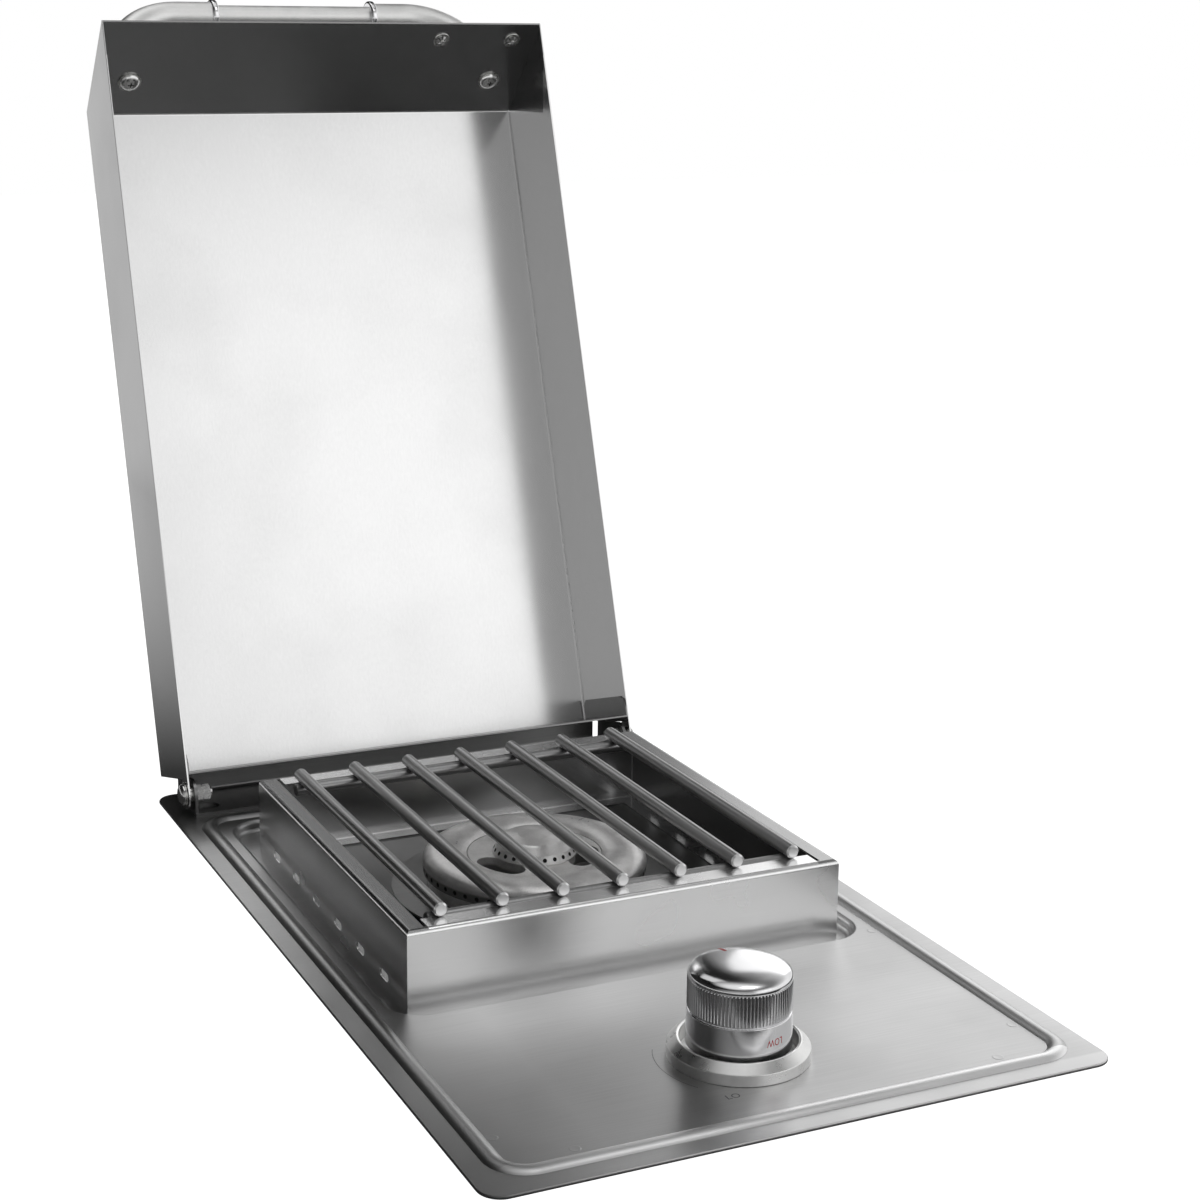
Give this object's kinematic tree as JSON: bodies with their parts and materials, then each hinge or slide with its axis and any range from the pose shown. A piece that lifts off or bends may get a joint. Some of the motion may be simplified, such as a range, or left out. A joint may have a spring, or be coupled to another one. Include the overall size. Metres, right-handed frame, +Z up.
{
  "type": "built in side burner",
  "caption": "Drop-in gas side burner with a pressed deck, control knob, bar grate over a ported burner in a sheet surround, and a hinged lid with a tubular handle.",
  "frame": {"origin": "middle of the deck on the level of its top face, over the middle of the counter cut-out", "axes": "+X to the right as seen from the knob end, +Y from the knob to the hinge, +Z up"},
  "size_m": [0.343, 0.7858, 0.619],
  "materials": {
    "deck_steel": "brushed",
    "lid_steel": "brushed",
    "galvanised": "dull",
    "bar_steel": "satin",
    "burner_cast": "satin cast",
    "zinc": "zinc plated",
    "chrome": "polished",
    "brass": "machined",
    "ceramic": "glazed"
  },
  "bodies": {
    "deck": {"deck_pan": "deck_steel", "service_box": "galvanised", "burner_surround": "deck_steel", "hinge_bracket": "deck_steel", "hinge_bolts": "zinc", "hinge_head_washers": "zinc", "hinge_spacer_washers": "zinc", "hinge_nuts": "zinc", "burner_plate": "deck_steel", "burner_base": "burner_cast", "burner_screws": "zinc", "venturi_tube": "galvanised", "air_shutter": "galvanised", "air_shutter_screw": "zinc", "igniter_electrode": "ceramic", "valve_bracket": "galvanised", "valve_body": "brass", "valve_bonnet": "brass", "bonnet_screws": "zinc", "orifice_spud": "brass", "gas_inlet_fitting": "brass", "knob_bezel": "chrome", "bezel_screws": "zinc"},
    "grate": {"pan_grate": "bar_steel"},
    "ring_cap": {"burner_ring_cap": "burner_cast"},
    "center_cap": {"burner_center_cap": "burner_cast"},
    "plug": {"valve_plug": "brass"},
    "knob": {"control_knob": "chrome", "valve_stem": "zinc", "valve_spring": "zinc"},
    "lid": {"lid_shell": "lid_steel", "lid_rear_wall": "lid_steel", "handle_elbow_left": "lid_steel", "handle_elbow_right": "lid_steel", "handle_grip": "lid_steel", "handle_ferrules": "chrome", "handle_screws": "zinc", "handle_washers": "zinc", "badge_studs": "zinc", "push_nuts": "zinc"}
  },
  "joints": [
    {"name": "lid_hinge", "type": "hinge", "parent": "deck", "child": "lid", "pos_m": [0, 0.2473, 0.01217], "axis": [1, 0, 0], "range_deg": [0, 108.4]},
    {"name": "knob_turn", "type": "hinge", "parent": "deck", "child": "plug", "pos_m": [0, -0.2046, -0.045], "axis": [0, 0, 1], "range_deg": [0, 150]},
    {"name": "knob_press", "type": "slide", "parent": "plug", "child": "knob", "axis": [0, 0, -1], "range_m": [0, 0.004], "stiffness_N_per_m": 1500, "springref_m": -0.003, "deforming": ["valve_spring"]},
    {"name": "grate_lift", "type": "slide", "parent": "deck", "child": "grate", "axis": [0, 0, 1], "range_m": [0, 0.024]},
    {"name": "ring_cap_lift", "type": "slide", "parent": "deck", "child": "ring_cap", "axis": [0, 0, 1], "range_m": [0, 0.01]},
    {"name": "center_cap_lift", "type": "slide", "parent": "deck", "child": "center_cap", "axis": [0, 0, 1], "range_m": [0, 0.007]}
  ]
}
